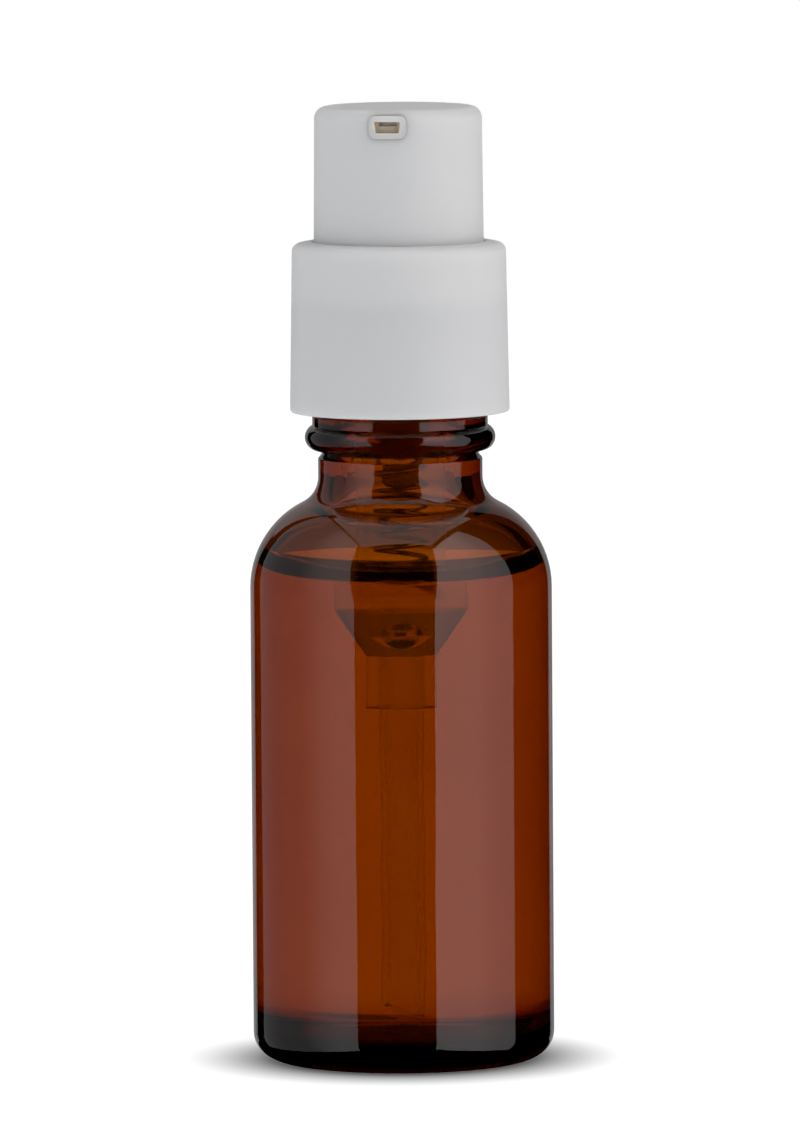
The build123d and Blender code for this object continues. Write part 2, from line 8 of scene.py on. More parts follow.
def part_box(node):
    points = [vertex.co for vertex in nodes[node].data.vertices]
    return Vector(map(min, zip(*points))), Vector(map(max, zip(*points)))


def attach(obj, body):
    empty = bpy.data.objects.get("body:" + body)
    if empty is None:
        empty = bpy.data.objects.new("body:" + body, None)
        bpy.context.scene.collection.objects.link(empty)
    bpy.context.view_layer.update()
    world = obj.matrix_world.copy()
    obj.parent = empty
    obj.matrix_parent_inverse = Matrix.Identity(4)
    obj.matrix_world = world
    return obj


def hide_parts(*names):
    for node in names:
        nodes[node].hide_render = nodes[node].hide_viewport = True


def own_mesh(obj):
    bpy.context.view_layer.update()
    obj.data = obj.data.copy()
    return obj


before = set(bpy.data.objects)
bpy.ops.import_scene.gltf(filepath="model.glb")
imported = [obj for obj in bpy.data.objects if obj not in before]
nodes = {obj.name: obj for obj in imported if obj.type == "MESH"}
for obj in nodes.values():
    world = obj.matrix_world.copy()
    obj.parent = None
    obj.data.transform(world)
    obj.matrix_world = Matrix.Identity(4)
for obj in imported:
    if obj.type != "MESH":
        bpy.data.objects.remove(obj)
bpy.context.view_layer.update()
MM = 0.001

# ---------------------------------------------------------------- camera

CAMERA_DISTANCE = 1.300
CAMERA_HEIGHT = 0.1785
CAMERA_AZIMUTH = 7.5
CAMERA_ROLL = 0.38
AIM_HEIGHT = 0.0533
AIM_SIDE = -0.0001
FRAME_HEIGHT = 0.1219
SENSOR = 36.0


def around(azimuth, distance, height):
    """A point at an azimuth in degrees about the bottle's axis: 0 is in front, by the nozzle, and + is right."""
    turn = radians(azimuth)
    return Vector((distance * sin(turn), -distance * cos(turn), height))


def make_camera():
    lens = bpy.data.cameras.new("camera")
    camera = bpy.data.objects.new("camera", lens)
    bpy.context.scene.collection.objects.link(camera)
    camera.location = around(CAMERA_AZIMUTH, CAMERA_DISTANCE, CAMERA_HEIGHT)
    side = Vector((cos(radians(CAMERA_AZIMUTH)), sin(radians(CAMERA_AZIMUTH)), 0)) * AIM_SIDE
    target = Vector((0, 0, AIM_HEIGHT)) + side
    camera.rotation_euler = (target - camera.location).to_track_quat("-Z", "Y").to_euler()
    camera.rotation_euler.rotate_axis("Z", radians(-CAMERA_ROLL))
    lens.sensor_width = SENSOR
    lens.lens = SENSOR * (target - camera.location).length / FRAME_HEIGHT
    bpy.context.scene.camera = camera


make_camera()

# ---------------------------------------------------------------- shaders

GLOW_DEPTH = 0.004
GLOW_SPREAD = (1.0, 0.9, 0.8)
PLASTIC_IOR = 1.49
GLASS_IOR = 1.52
OIL_IOR = 1.47
MOUTH = 0.00905
# The width of the fade and the colour inside the nozzle's mouth: painted shade of the recess, with an oil tint.
SHADE_AND_STAIN_EDGE = 0.0001
OIL_STAIN_AND_SHADE = (0.74, 0.63, 0.48)


def new_material(name, **sockets):
    """A material with one Principled shader, its plain values set on the sockets."""
    material = bpy.data.materials.new(name)
    material.use_nodes = True
    shader = material.node_tree.nodes["Principled BSDF"]
    for socket, value in sockets.items():
        shader.inputs[socket.replace("_", " ")].default_value = value
    return material, material.node_tree, shader


def add_node(tree, kind, **values):
    """A node, with its properties or its input values set by name."""
    node = tree.nodes.new(kind)
    for name, value in values.items():
        if hasattr(node, name):
            setattr(node, name, value)
        else:
            node.inputs[name.replace("_", " ")].default_value = value
    return node


def noise(tree, scale, detail=3.0):
    """Noise in the object's own coordinates, in metres, so a scale of 1000 varies over about a millimetre."""
    where = add_node(tree, "ShaderNodeTexCoord")
    texture = add_node(tree, "ShaderNodeTexNoise", Scale=scale, Detail=detail)
    tree.links.new(where.outputs["Object"], texture.inputs["Vector"])
    return texture.outputs["Fac"]


def add_bump(tree, shader, height, strength, distance):
    bump = add_node(tree, "ShaderNodeBump", Strength=strength, Distance=distance)
    tree.links.new(height, bump.inputs["Height"])
    tree.links.new(bump.outputs["Normal"], shader.inputs["Normal"])


def vary(tree, source, socket, low, high):
    """Drives a socket between two values by a 0 to 1 source."""
    spread = add_node(tree, "ShaderNodeMapRange")
    spread.inputs["To Min"].default_value = low
    spread.inputs["To Max"].default_value = high
    tree.links.new(source, spread.inputs["Value"])
    tree.links.new(spread.outputs["Result"], socket)


def tint(tree, source, socket, dark, light):
    """Mixes two colours by a 0 to 1 source."""
    mix = add_node(tree, "ShaderNodeMix", data_type="RGBA")
    mix.inputs["A"].default_value = (*dark, 1)
    mix.inputs["B"].default_value = (*light, 1)
    tree.links.new(source, mix.inputs["Factor"])
    tree.links.new(mix.outputs["Result"], socket)


def plastic(name, dark, light, roughness, glow=0.12, grain=900, shine=0.5):
    """Moulded plastic: two close shades, a fine satin grain, and some light let into the surface."""
    material, tree, shader = new_material(
        name,
        IOR=PLASTIC_IOR,
        Specular_IOR_Level=shine,
        Subsurface_Weight=glow,
        Subsurface_Scale=GLOW_DEPTH,
        Subsurface_Radius=GLOW_SPREAD,
    )
    tint(tree, noise(tree, 120), shader.inputs["Base Color"], dark, light)
    vary(tree, noise(tree, 300, 4), shader.inputs["Roughness"], roughness - 0.04, roughness + 0.05)
    add_bump(tree, shader, noise(tree, grain, 4), 0.05, 0.0002)
    return material


def shade_and_stain_mouth(material):
    """Tints the nozzle's plastic darker and warmer inside its mouth, where it is nearer to the bottle's axis:
    painted shade of the recess, with a tint of the oil that soaks it.
    """
    tree = material.node_tree
    colour_socket = tree.nodes["Principled BSDF"].inputs["Base Color"]
    clean = colour_socket.links[0].from_socket
    where = add_node(tree, "ShaderNodeTexCoord")
    flat = add_node(tree, "ShaderNodeVectorMath", operation="MULTIPLY")
    flat.inputs[1].default_value = (1, 1, 0)
    away = add_node(tree, "ShaderNodeVectorMath", operation="LENGTH")
    inside = add_node(tree, "ShaderNodeMapRange")
    inside.inputs["From Min"].default_value = MOUTH
    inside.inputs["From Max"].default_value = MOUTH - SHADE_AND_STAIN_EDGE
    # Mixes in the painted shade and oil tint inside the mouth.
    mix = add_node(tree, "ShaderNodeMix", data_type="RGBA")
    mix.inputs["B"].default_value = (*OIL_STAIN_AND_SHADE, 1)
    tree.links.new(where.outputs["Object"], flat.inputs[0])
    tree.links.new(flat.outputs["Vector"], away.inputs[0])
    tree.links.new(away.outputs["Value"], inside.inputs["Value"])
    tree.links.new(inside.outputs["Result"], mix.inputs["Factor"])
    tree.links.new(clean, mix.inputs["A"])
    tree.links.new(mix.outputs["Result"], colour_socket)


def clear_body(name, ior, passed, density):
    """A smooth clear solid or liquid. Its colour is what it lets pass, and the rest fades with depth."""
    material, tree, shader = new_material(
        name, Base_Color=(1, 1, 1, 1), IOR=ior, Transmission_Weight=1.0, Roughness=0.0
    )
    medium = add_node(tree, "ShaderNodeVolumeAbsorption")
    medium.inputs["Color"].default_value = (*passed, 1)
    medium.inputs["Density"].default_value = density
    output = tree.nodes["Material Output"]
    tree.links.new(medium.outputs["Volume"], output.inputs["Volume"])
    return material, tree, shader


def frosted(name, ior, roughness):
    """Unpigmented plastic that lets light through. It bends light little, as it does in oil, which is so like it."""
    material, tree, shader = new_material(name, IOR=ior, Transmission_Weight=1.0)
    tint(tree, noise(tree, 200), shader.inputs["Base Color"], (0.96, 0.96, 0.94), (0.99, 0.99, 0.98))
    vary(tree, noise(tree, 500, 4), shader.inputs["Roughness"], roughness - 0.05, roughness + 0.05)
    return material


def steel(name, roughness):
    material, tree, shader = new_material(name, Metallic=1.0)
    tint(tree, noise(tree, 700), shader.inputs["Base Color"], (0.52, 0.52, 0.54), (0.68, 0.68, 0.7))
    vary(tree, noise(tree, 2500, 2), shader.inputs["Roughness"], roughness - 0.05, roughness + 0.08)
    return material


def amber_glass():
    material, tree, shader = clear_body("amber_glass", GLASS_IOR, (0.872, 0.722, 0.0), 2500)
    add_bump(tree, shader, noise(tree, 90, 1), 0.06, 0.0008)
    return material


def golden_oil():
    return clear_body("oil", OIL_IOR, (0.9, 0.77, 0.0), 150)[0]


WHITE = plastic("white_plastic", (0.73, 0.73, 0.73), (0.77, 0.77, 0.765), 0.4, glow=0.7, shine=0.3)
NOZZLE = plastic("nozzle_plastic", (0.79, 0.78, 0.74), (0.83, 0.82, 0.79), 0.36, glow=0.7, shine=0.3)
HOUSING = frosted("housing_plastic", 1.08, 0.3)
NATURAL = plastic("natural_plastic", (0.78, 0.79, 0.78), (0.84, 0.84, 0.82), 0.42, glow=0.4)
TUBE = frosted("tube_plastic", 1.12, 0.25)
PISTON = plastic("piston_plastic", (0.82, 0.82, 0.81), (0.88, 0.88, 0.87), 0.4, glow=0.3)
FOAM = plastic("gasket_foam", (0.72, 0.72, 0.7), (0.84, 0.84, 0.82), 0.75, glow=0.1, grain=2600)
WIRE = steel("spring_steel", 0.28)
BALL = steel("ball_steel", 0.1)
AMBER = amber_glass()
OIL = golden_oil()
# Paints shade and an oil tint inside the nozzle's mouth.
shade_and_stain_mouth(NOZZLE)

# ---------------------------------------------------------------- turned meshes

ARC_STEP = 5.0
RUN_STEP = 0.8
RUN_END = 0.12
COLUMNS = 192
SEAM_COLUMNS = 5
SEAM_STEP = 0.3
SAME_POINT = 1e-4
ON_AXIS = 1e-6


def straight(start, end):
    """Points on a straight run, close together at its ends so that curves beside it shade cleanly."""
    length = hypot(end[0] - start[0], end[1] - start[1])
    if length < 3 * RUN_END:
        return [start, end]
    inner = ceil((length - 2 * RUN_END) / RUN_STEP)
    marks = [0] + [RUN_END + (length - 2 * RUN_END) * i / inner for i in range(inner + 1)] + [length]
    return [tuple(a + (b - a) * m / length for a, b in zip(start, end)) for m in marks]


def arc(centre, radius, start, end):
    """Points on an arc between two angles in degrees."""
    steps = max(2, ceil(abs(end - start) / ARC_STEP))
    angles = [radians(start + (end - start) * k / steps) for k in range(steps + 1)]
    return [(centre[0] + radius * cos(a), centre[1] + radius * sin(a)) for a in angles]


def path(*parts):
    """An outline of (radius, height) points in millimetres through single points and arcs."""
    runs = [part if isinstance(part, list) else [part] for part in parts]
    outline = list(runs[0])
    for run in runs[1:]:
        outline += straight(outline[-1], run[0])[1:-1] + run
    return [p for p, q in zip(outline, outline[1:]) if dist(p, q) > SAME_POINT] + outline[-1:]


def rounded(*corners):
    """An outline through corners (radius, height, rounding); the first and last are single points."""
    parts = [corners[0][:2]]
    for before, (r, z, size), after in zip(corners, corners[1:], corners[2:]):
        here = Vector((r, z))
        if size == 0:
            parts.append((r, z))
            continue
        back = (Vector(before[:2]) - here).normalized()
        ahead = (Vector(after[:2]) - here).normalized()
        half = back.angle(ahead) / 2
        centre = here + (back + ahead).normalized() * size / sin(half)
        first = here + back * size / tan(half) - centre
        last = here + ahead * size / tan(half) - centre
        start = degrees(atan2(first.y, first.x))
        sweep = (degrees(atan2(last.y, last.x)) - start + 180) % 360 - 180
        parts.append(arc(centre, size, start, start + sweep))
    return path(*parts, corners[-1][:2])


def column_angles(seams=()):
    """The angles of a turned mesh's columns in degrees, with more of them close to mould seams."""
    angles = {round(360 * i / COLUMNS, 4) for i in range(COLUMNS)}
    for seam in seams:
        steps = range(-SEAM_COLUMNS, SEAM_COLUMNS + 1)
        angles |= {round((seam + SEAM_STEP * k) % 360, 4) for k in steps}
    return [radians(a) for a in sorted(angles)]


class Turned:
    """The points and faces of a mesh turned about the vertical axis from an outline in millimetres."""

    def __init__(self, outline, angles, shape=None, closed=False, leave_out=None):
        self.points = []
        self.faces = []
        self.rings = []
        self.angles = angles
        for k, (r, z) in enumerate(outline):
            if r < ON_AXIS:
                self.rings.append([self.add(0, 0, z)] * len(angles))
                continue
            places = [shape(k, r, z, a) if shape else (r, z) for a in angles]
            self.rings.append([self.add(p * cos(a), p * sin(a), h) for a, (p, h) in zip(angles, places)])
        rows = len(outline)
        for j in range(rows if closed else rows - 1):
            for i in range(len(angles)):
                if leave_out and leave_out(j, i):
                    continue
                low, high = self.rings[j], self.rings[(j + 1) % rows]
                n = (i + 1) % len(angles)
                self.face(low[i], low[n], high[n], high[i])

    def add(self, x, y, z):
        self.points.append((x * MM, y * MM, z * MM))
        return len(self.points) - 1

    def face(self, *corners):
        self.faces.append([v for n, v in enumerate(corners) if v != corners[n - 1]])

    def piece(self, name, sharp=40):
        mesh = bpy.data.meshes.new(name)
        mesh.from_pydata(self.points, [], self.faces)
        mesh.validate()
        mesh.shade_smooth()
        mesh.set_sharp_from_angle(angle=radians(sharp))
        thing = bpy.data.objects.new(name, mesh)
        bpy.context.scene.collection.objects.link(thing)
        return thing


def place(thing, body, node, material):
    """Gives a piece its material and its body, and hides the CAD node that it stands for."""
    thing.data.materials.append(material)
    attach(thing, body)
    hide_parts(node)


# ---------------------------------------------------------------- bottle

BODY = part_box("glass_bottle")[1].x / MM
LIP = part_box("glass_bottle")[1].z / MM
WALL = 2.0
SHOULDER = 10.2
SHOULDER_START = 51.1
NECK = 8.85
NECK_BLEND = 3.2
NECK_TOP = 65.15
GROOVE = (8.35, 65.58)
BORE = 6.4
BORE_BLEND = 5.4
BEAD_MIDDLE = 67.3
BEAD = 1.41
BAND = 9.45
BAND_TOP = 69.7
FINISH = 9.05
FLOOR = 3.0
FLOOR_CROWN = 3.8
FLOOR_CORNER = 3.5
THREAD_START = 72.9
PITCH = 3.175
THREAD_TURNS = 1.25
THREAD_DEPTH = 0.73
THREAD_HALF = 0.85
THREAD_FLANK = 0.5
THREAD_FADE = 0.08
SEAMS = (0, 180)
SEAM_HEIGHT = 0.025
SEAM_WIDTH = 0.35
SEAM_FOOT = 3
KNURLS = 48
KNURL_DEPTH = 0.15
KNURL_INNER = 10.5
KNURL_MARGIN = 2.5
WAVE = 0.03
PUSH_UP = 1.3
DIMPLE = 12
FOOT_CORNER = 3.0
FOOT_INNER_CORNER = 1.5
EDGE_CORNER = 0.2
LIP_CORNER = 0.8
LIP_INNER_CORNER = 0.5
INNER = BODY - WALL
SHOULDER_MIDDLE = (BODY - SHOULDER, SHOULDER_START)


def shoulder(radius, neck, blend):
    """The shoulder's arc and the blend into the neck, from the body upwards."""
    across = neck + blend - SHOULDER_MIDDLE[0]
    up = sqrt((radius + blend) ** 2 - across**2)
    meet = degrees(atan2(up, across))
    blend_middle = (neck + blend, SHOULDER_START + up)
    return arc(SHOULDER_MIDDLE, radius, 0, meet), arc(blend_middle, blend, 180 + meet, 180)


def outer_wall():
    bead_end = degrees(acos((BAND - NECK) / BEAD))
    return path(
        *rounded(
            (0, PUSH_UP, 0),
            (4.0, 1.15, DIMPLE),
            (10.0, 0.0, FOOT_INNER_CORNER),
            (BODY, 0.0, FOOT_CORNER),
            (BODY, SHOULDER_START, 0),
        ),
        *shoulder(SHOULDER, NECK, NECK_BLEND),
        arc((NECK - EDGE_CORNER, NECK_TOP - EDGE_CORNER), EDGE_CORNER, 0, 45),
        GROOVE,
        arc((NECK, BEAD_MIDDLE), BEAD, -90, bead_end),
        arc((BAND - EDGE_CORNER, BAND_TOP - EDGE_CORNER), EDGE_CORNER, 0, 45),
        (FINISH, BAND_TOP + BAND - FINISH),
        arc((FINISH - LIP_CORNER, LIP - LIP_CORNER), LIP_CORNER, 0, 90),
    )


def inner_wall():
    lip = arc((BORE + LIP_INNER_CORNER, LIP - LIP_INNER_CORNER), LIP_INNER_CORNER, 90, 180)
    upper = [part[::-1] for part in shoulder(SHOULDER - WALL, BORE, BORE_BLEND)][::-1]
    lower = rounded(
        (INNER, SHOULDER_START, 0),
        (INNER, FLOOR, FLOOR_CORNER),
        (6.0, FLOOR + 0.1, DIMPLE),
        (0, FLOOR_CROWN, 0),
    )
    return path(lip, *upper, *lower)


def bottle_shape(outer_count):
    """The thread, mould seams and foot knurling outside, and the slight waves of blown glass inside."""

    def shape(k, r, z, a):
        turn = degrees(a)
        if k >= outer_count:
            wave = sin(3 * a + 0.21 * z) + 0.7 * sin(2 * a - 0.34 * z + 1) + 0.5 * sin(5 * a + 0.5 * z)
            return (r + WAVE * wave * min(1, r / INNER), z) if FLOOR + FLOOR_CORNER < z < LIP - 1 else (r, z)
        if SEAM_FOOT < z < LIP - 2:
            off_seams = [((turn - seam + 180) % 360 - 180) / SEAM_WIDTH for seam in SEAMS]
            r += SEAM_HEIGHT * sum(exp(-(off**2)) for off in off_seams)
        if z < 0.05 and KNURL_INNER < r < BODY - KNURL_MARGIN:
            z += KNURL_DEPTH * (0.5 - 0.5 * cos(KNURLS * a)) ** 2
        for lap in range(2):
            along = turn / 360 + lap
            if along > THREAD_TURNS:
                continue
            fade = min(1, along / THREAD_FADE, (THREAD_TURNS - along) / THREAD_FADE)
            ridge = max(0.0, min(1.0, (THREAD_HALF - abs(z - THREAD_START - PITCH * along)) / THREAD_FLANK))
            r += THREAD_DEPTH * fade * ridge * ridge * (3 - 2 * ridge)
        return r, z

    return shape


outer = outer_wall()
bottle = Turned(outer + inner_wall(), column_angles(SEAMS), bottle_shape(len(outer)))
place(bottle.piece("bottle"), "bottle", "glass_bottle", AMBER)

# ---------------------------------------------------------------- oil, with the rim that climbs the glass

OIL_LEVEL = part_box("oil_fill")[1].z / MM
SOAK = 0.15
CLIMB = 2.1
CLIMB_TURN = 103
CLIMB_STEP = 0.01
CLIMB_SKIP = 14
CLIMB_FIRST_SLOPE = 0.03


def climbing_rim():
    """The oil's surface near the glass as (distance, height), from the flat part to the line where it meets it.

    A still surface turns in proportion to its height, over a length that the liquid sets.
    """
    slope = CLIMB_FIRST_SLOPE
    height = CLIMB * slope
    across = 0.0
    rim = [(0.0, 0.0)]
    while slope < radians(CLIMB_TURN):
        across += CLIMB_STEP * cos(slope)
        height += CLIMB_STEP * sin(slope)
        slope += CLIMB_STEP * height / CLIMB**2
        rim.append((across, height))
    return rim[::CLIMB_SKIP] + rim[-1:]


def oil_outline():
    wall = INNER + SOAK
    below = rounded(
        (0, FLOOR_CROWN - SOAK, 0),
        (6.0, FLOOR + 0.1 - SOAK, DIMPLE),
        (wall, FLOOR - SOAK, FLOOR_CORNER),
        (wall, SHOULDER_START, 0),
    )
    rim = climbing_rim()
    contact = rim[-1][1] + OIL_LEVEL
    radius = SHOULDER - WALL + SOAK
    steep = degrees(asin((contact - SHOULDER_START) / radius))
    side = arc(SHOULDER_MIDDLE, radius, 0, steep)
    surface = [(side[-1][0] - rim[-1][0] + x, OIL_LEVEL + z) for x, z in rim]
    return path(below, side, surface[-2::-1], (0, OIL_LEVEL))


oil = Turned(oil_outline(), column_angles())
place(oil.piece("oil"), "bottle", "oil_fill", OIL)

# ---------------------------------------------------------------- collar

COLLAR_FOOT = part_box("collar_shell")[0].z / MM
COLLAR_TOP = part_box("collar_shell")[1].z / MM
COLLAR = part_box("collar_shell")[1].x / MM
COLLAR_WAIST = 11.5
COLLAR_BORE = 10.78
COLLAR_UPPER_BORE = 10.3
COLLAR_STEP = 82.1
COLLAR_LIP = 1.2
COLLAR_HOLE = 9.35

collar = Turned(
    rounded(
        (COLLAR_BORE, COLLAR_FOOT + 4, 0),
        (COLLAR_BORE, COLLAR_FOOT, 0.25),
        (COLLAR, COLLAR_FOOT, 0.3),
        (COLLAR_WAIST, COLLAR_TOP - 0.4, 0.9),
        (COLLAR_HOLE, COLLAR_TOP, 0.2),
        (COLLAR_HOLE, COLLAR_TOP - COLLAR_LIP, 0),
        (COLLAR_UPPER_BORE, COLLAR_TOP - COLLAR_LIP, 0),
        (COLLAR_UPPER_BORE, COLLAR_STEP, 0),
        (COLLAR_BORE, COLLAR_STEP, 0),
        (COLLAR_BORE, COLLAR_FOOT + 4.8, 0),
    ),
    column_angles(),
    closed=True,
)
place(collar.piece("collar"), "closure", "collar_shell", WHITE)

# ---------------------------------------------------------------- actuator, with the window for the nozzle

CAP_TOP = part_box("actuator_shell")[1].z / MM
CAP_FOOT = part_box("actuator_shell")[0].z / MM
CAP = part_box("actuator_shell")[1].x / MM
CAP_WAIST = 9.0
CAP_WALL = 1.2
CAP_ROOF = 1.1
CAP_EDGE = 1.3
CAP_FOOT_EDGE = 0.15
CORE = 7.85
CORE_FOOT = 99.75
WINDOW_MIDDLE = CAP_TOP - 1.8
WINDOW_HALF = (2.07, 1.27)
WINDOW_CORNER = 0.77
WINDOW_REACH = 20.0
WINDOW_LOW = 97.6
WINDOW_HIGH = 102.62
WINDOW_SEARCH = 8.0
WINDOW_HALVINGS = 40
WINDOW_SPREADS = (0.8, 0.6, 0.4, 0.22, 0.08, 0)
WINDOW_EDGE = ((0.04, 0.01), (0.01, 0.04), (0, 0.08), (0, 0.6), (0, 1.0))
WINDOW_LIP = 0.08
FRONT = radians(270)


def window_point(x, z, grow):
    """Where a line from the window's middle towards (x, z) meets its rounded outline, grown outwards."""
    half = [h + grow for h in WINDOW_HALF]
    corner = WINDOW_CORNER + grow
    low, high = 0.0, WINDOW_SEARCH
    for _ in range(WINDOW_HALVINGS):
        middle = (low + high) / 2
        over = [max(abs(p) * middle - h + corner, 0.0) for p, h in zip((x, z), half)]
        inside = hypot(*over) < corner and all(abs(p) * middle < h for p, h in zip((x, z), half))
        low, high = (middle, high) if inside else (low, middle)
    return x * low, z * low


def make_actuator():
    """The button's shell: turned, with part of its side replaced by rings that run to the nozzle's window."""
    outside = rounded(
        (CAP - CAP_WALL, CAP_FOOT, 0),
        (CAP, CAP_FOOT, CAP_FOOT_EDGE),
        (CAP_WAIST, CAP_TOP, CAP_EDGE),
        (0, CAP_TOP, 0),
    )
    under_roof = CAP_TOP - CAP_ROOF
    inside = path((0, under_roof), (CORE, under_roof), (CORE, CORE_FOOT), (CAP - CAP_WALL, CAP_FOOT))
    outline = outside + inside[:-1]
    angles = column_angles()
    columns = [i for i, a in enumerate(angles) if abs(degrees(a - FRONT)) < WINDOW_REACH]
    rows = [j for j, (r, z) in enumerate(outside) if r > CAP / 2 and WINDOW_LOW < z < WINDOW_HIGH]
    wall = {z: r for r, z in outside if r > CAP / 2}
    heights = sorted(wall)

    def wall_radius(z):
        for below, above in zip(heights, heights[1:]):
            if z <= above:
                return wall[below] + (wall[above] - wall[below]) * (z - below) / (above - below)

    def left_out(j, i):
        return rows[0] <= j < rows[-1] and columns[0] <= i < columns[-1]

    shell = Turned(outline, angles, closed=True, leave_out=left_out)
    border = [(rows[0], i) for i in columns[:-1]] + [(j, columns[-1]) for j in rows[:-1]]
    border += [(rows[-1], i) for i in columns[:0:-1]] + [(j, columns[0]) for j in rows[:0:-1]]
    flat = [((angles[i] - FRONT) * CAP_WAIST, outside[j][1] - WINDOW_MIDDLE) for j, i in border]

    def ring(spread, grow, depth):
        """A ring of points round the window, on the wall or sunk below it."""
        places = []
        for x, z in flat:
            u, v = window_point(x, z, grow)
            u, v = u + (x - u) * spread, v + (z - v) * spread
            turn = FRONT + u / CAP_WAIST
            radius = wall_radius(v + WINDOW_MIDDLE) - depth
            places.append(shell.add(radius * cos(turn), radius * sin(turn), v + WINDOW_MIDDLE))
        return places

    rings = [[shell.rings[j][i] for j, i in border]]
    rings += [ring(spread, WINDOW_LIP, 0) for spread in WINDOW_SPREADS]
    rings += [ring(0, grow, depth) for grow, depth in WINDOW_EDGE]
    for outer_ring, inner_ring in zip(rings, rings[1:]):
        for i in range(len(border)):
            n = (i + 1) % len(border)
            shell.face(outer_ring[i], outer_ring[n], inner_ring[n], inner_ring[i])
    place(shell.piece("actuator"), "actuator", "actuator_shell", WHITE)


make_actuator()

# ---------------------------------------------------------------- return spring

WIRE_RADIUS = 0.3
COIL_TURNS = 7
COIL_STEPS = 48
WIRE_SIDES = 16


def make_spring():
    """The coil spring, made at the length of its CAD part; the real one shortens towards its seat as the button is
    pressed.
    """
    low, high = (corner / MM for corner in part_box("return_spring"))
    middle = (high.x - low.x) / 2 - WIRE_RADIUS
    run = high.z - low.z - 2 * WIRE_RADIUS
    steps = COIL_TURNS * COIL_STEPS
    climb = atan2(run, 2 * pi * middle * COIL_TURNS)
    mesh = bmesh.new()
    rings = []
    for k in range(steps + 1):
        turn = Matrix.Rotation(2 * pi * COIL_TURNS * k / steps, 3, "Z")
        centre = Vector((middle, 0, low.z + WIRE_RADIUS + run * k / steps))
        ring = []
        for side in range(WIRE_SIDES):
            angle = 2 * pi * side / WIRE_SIDES
            out = Vector((cos(angle), -sin(climb) * sin(angle), cos(climb) * sin(angle)))
            ring.append(mesh.verts.new(turn @ (centre + out * WIRE_RADIUS) * MM))
        rings.append(ring)
    for ring, following in zip(rings, rings[1:]):
        for side in range(WIRE_SIDES):
            n = (side + 1) % WIRE_SIDES
            mesh.faces.new((ring[side], ring[n], following[n], following[side]))
    mesh.faces.new(rings[0][::-1])
    mesh.faces.new(rings[-1])
    bmesh.ops.recalc_face_normals(mesh, faces=mesh.faces)
    data = bpy.data.meshes.new("spring")
    mesh.to_mesh(data)
    mesh.free()
    data.shade_smooth()
    data.set_sharp_from_angle(angle=radians(50))
    spring = bpy.data.objects.new("spring", data)
    bpy.context.scene.collection.objects.link(spring)
    place(spring, "pump_engine", "return_spring", WIRE)
    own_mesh(spring)


make_spring()

# ---------------------------------------------------------------- materials of the CAD parts that stay

for node, material in {
    "nozzle_core": NOZZLE,
    "threaded_closure": WHITE,
    "stem": WHITE,
    "pump_housing": HOUSING,
    "stem_retainer": HOUSING,
    "piston_rod": NATURAL,
    "piston": PISTON,
    "dip_tube": TUBE,
    "bottle_gasket": FOAM,
    "check_ball": BALL,
}.items():
    nodes[node].data.materials.clear()
    nodes[node].data.materials.append(material)

# ---------------------------------------------------------------- studio

FLOOR_SIZE = 8.0
# The painted shadow round the bottle's foot: no floor glow within the first distance of its axis, full glow beyond
# the second.
SHADE_INNER = 0.011
SHADE_OUTER = 0.026
SUBJECT = Vector((0, 0, AIM_HEIGHT))
SIDE = 0.6
BACK = 1.0
BACKDROP_HIGH = 0.3
ABOVE = 0.7
FILL_HALF = 0.5
FILL_ABOVE = 0.75
BASE_GLOW = 0.02
RAY_GLOW = {"Is Camera Ray": 1.0, "Is Transmission Ray": 0.5, "Is Diffuse Ray": 0.4}


def studio_sheet(name, points, faces, material):
    """A sheet of the studio. Its points are measured from the camera's aim, x to the right and y away from it."""
    turn = Matrix.Translation(SUBJECT) @ Matrix.Rotation(radians(CAMERA_AZIMUTH), 4, "Z")
    mesh = bpy.data.meshes.new(name)
    mesh.from_pydata([turn @ Vector(p) for p in points], [], faces)
    mesh.materials.append(material)
    sheet = bpy.data.objects.new(name, mesh)
    bpy.context.scene.collection.objects.link(sheet)
    return sheet


def softbox(name, near, far, shades, colour=(1, 1, 1)):
    """A glowing sheet between two edges, (low, high) each. Its shades are (place, low glow, high glow) across it."""
    points = []
    glow = []
    for part, low, high in shades:
        points += [Vector(a).lerp(Vector(b), part) for a, b in zip(near, far)]
        glow += [low, high]
    faces = [(i, i + 1, i + 3, i + 2) for i in range(0, len(points) - 2, 2)]
    material = bpy.data.materials.new(name)
    material.use_nodes = True
    tree = material.node_tree
    tree.nodes.remove(tree.nodes["Principled BSDF"])
    light = add_node(tree, "ShaderNodeEmission", Color=(*colour, 1))
    strength = add_node(tree, "ShaderNodeAttribute", attribute_name="glow")
    tree.links.new(strength.outputs["Fac"], light.inputs["Strength"])
    tree.links.new(light.outputs["Emission"], tree.nodes["Material Output"].inputs["Surface"])
    sheet = studio_sheet(name, points, faces, material)
    sheet.data.attributes.new("glow", "FLOAT", "POINT").data.foreach_set("value", glow)
    sheet.visible_camera = False
    return sheet


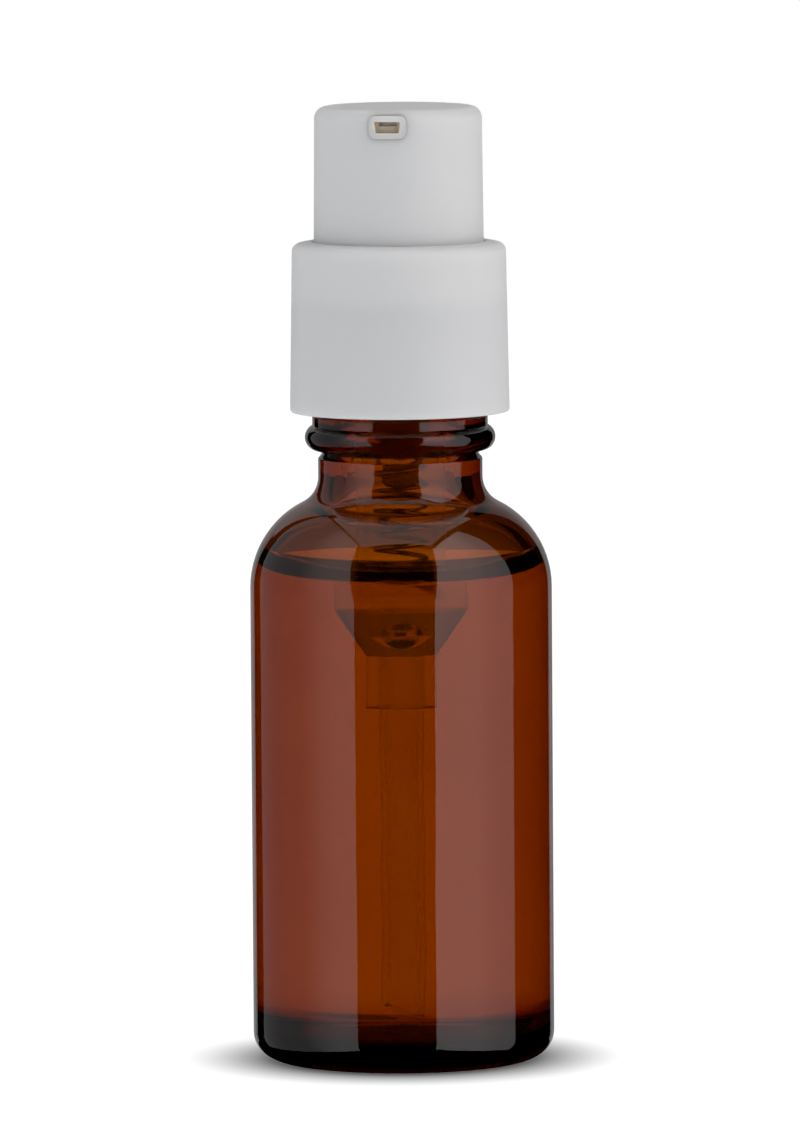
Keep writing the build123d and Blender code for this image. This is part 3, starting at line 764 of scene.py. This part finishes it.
def make_floor():
    """A floor that glows evenly white, apart from a painted shadow where the bottle stands: its glow fades out
    there.
    """
    material, tree, shader = new_material(
        "floor", Base_Color=(0.15, 0.15, 0.15, 1), Roughness=0.9, Emission_Color=(1, 1, 1, 1)
    )
    # Painted shadow: the emission grows from none near the bottle's axis to full farther out.
    where = add_node(tree, "ShaderNodeTexCoord")
    away = add_node(tree, "ShaderNodeVectorMath", operation="LENGTH")
    spread = add_node(tree, "ShaderNodeMapRange", interpolation_type="SMOOTHSTEP")
    spread.inputs["From Min"].default_value = SHADE_INNER
    spread.inputs["From Max"].default_value = SHADE_OUTER
    tree.links.new(where.outputs["Object"], away.inputs[0])
    tree.links.new(away.outputs["Value"], spread.inputs["Value"])
    tree.links.new(spread.outputs["Result"], shader.inputs["Emission Strength"])
    half = FLOOR_SIZE / 2
    low = -AIM_HEIGHT
    corners = [(-half, -half, low), (half, -half, low), (half, half, low), (-half, half, low)]
    studio_sheet("floor", corners, [(0, 1, 2, 3)], material).visible_glossy = False


def make_world():
    """Nearly dark in reflections, and brighter to the camera, through clear bodies and on matt surfaces."""
    world = bpy.data.worlds.new("studio")
    bpy.context.scene.world = world
    world.use_nodes = True
    tree = world.node_tree
    path_kind = add_node(tree, "ShaderNodeLightPath")
    total = None
    for kind, strength in RAY_GLOW.items():
        part = add_node(tree, "ShaderNodeMath", operation="MULTIPLY_ADD")
        part.inputs[1].default_value = strength
        part.inputs[2].default_value = BASE_GLOW
        tree.links.new(path_kind.outputs[kind], part.inputs[0])
        if total:
            tree.links.new(total, part.inputs[2])
        total = part.outputs[0]
    tree.links.new(total, tree.nodes["Background"].inputs["Strength"])


softbox(
    "left_softbox",
    ((-SIDE, -0.90, -0.35), (-SIDE, -0.45, 1.15)),
    ((-SIDE, 0.56, -0.35), (-SIDE, 0.95, 1.15)),
    [(0, 0.95, 0.95), (0.25, 0.95, 0.95), (0.38, 0.72, 0.76), (0.5, 0.4, 0.43), (0.7, 0.3, 0.35), (1, 0.3, 0.35)],
    (0.97, 0.98, 1.0),
)
softbox(
    "right_softbox",
    ((SIDE, -1.335, -0.35), (SIDE, -0.796, 1.41)),
    ((SIDE, 0.03, -0.35), (SIDE, 0.10, 1.13)),
    [(0, 1.28, 1.75), (0.7, 1.28, 1.75), (1, 0.8, 1.0)],
    (1.0, 0.955, 0.965),
)
softbox(
    "top_softbox",
    ((-0.35, -0.33, ABOVE), (0.26, -0.33, ABOVE)),
    ((-0.35, 0.42, ABOVE), (0.38, 0.42, ABOVE)),
    [(0, 0.7, 0.7), (1, 0.7, 0.7)],
)
softbox(
    "upper_backdrop",
    ((-0.6, BACK, BACKDROP_HIGH), (-0.6, BACK, 1.4)),
    ((0.53, BACK, BACKDROP_HIGH), (0.53, BACK, 1.4)),
    [(0, 0.4, 0.35), (0.5, 0.3, 0.25), (1, 0.22, 0.15)],
)
fill = softbox(
    "top_fill",
    ((-FILL_HALF, -FILL_HALF, FILL_ABOVE), (FILL_HALF, -FILL_HALF, FILL_ABOVE)),
    ((-FILL_HALF, FILL_HALF, FILL_ABOVE), (FILL_HALF, FILL_HALF, FILL_ABOVE)),
    [(0, 1.9, 1.9), (1, 1.9, 1.9)],
)
fill.visible_glossy = False
fill.visible_transmission = False
softbox(
    "backdrop",
    ((-0.53, BACK, -0.3), (-0.53, BACK, BACKDROP_HIGH)),
    ((0.53, BACK, -0.3), (0.53, BACK, BACKDROP_HIGH)),
    [(0, 0.3, 0.3), (0.15, 0.4, 0.3), (0.85, 0.4, 0.3), (1, 0.3, 0.3)],
)
make_floor()
make_world()
bpy.context.scene.view_settings.view_transform = "Standard"
bpy.context.scene.cycles.max_bounces = 32
bpy.context.scene.cycles.transmission_bounces = 32
bpy.context.scene.cycles.glossy_bounces = 12
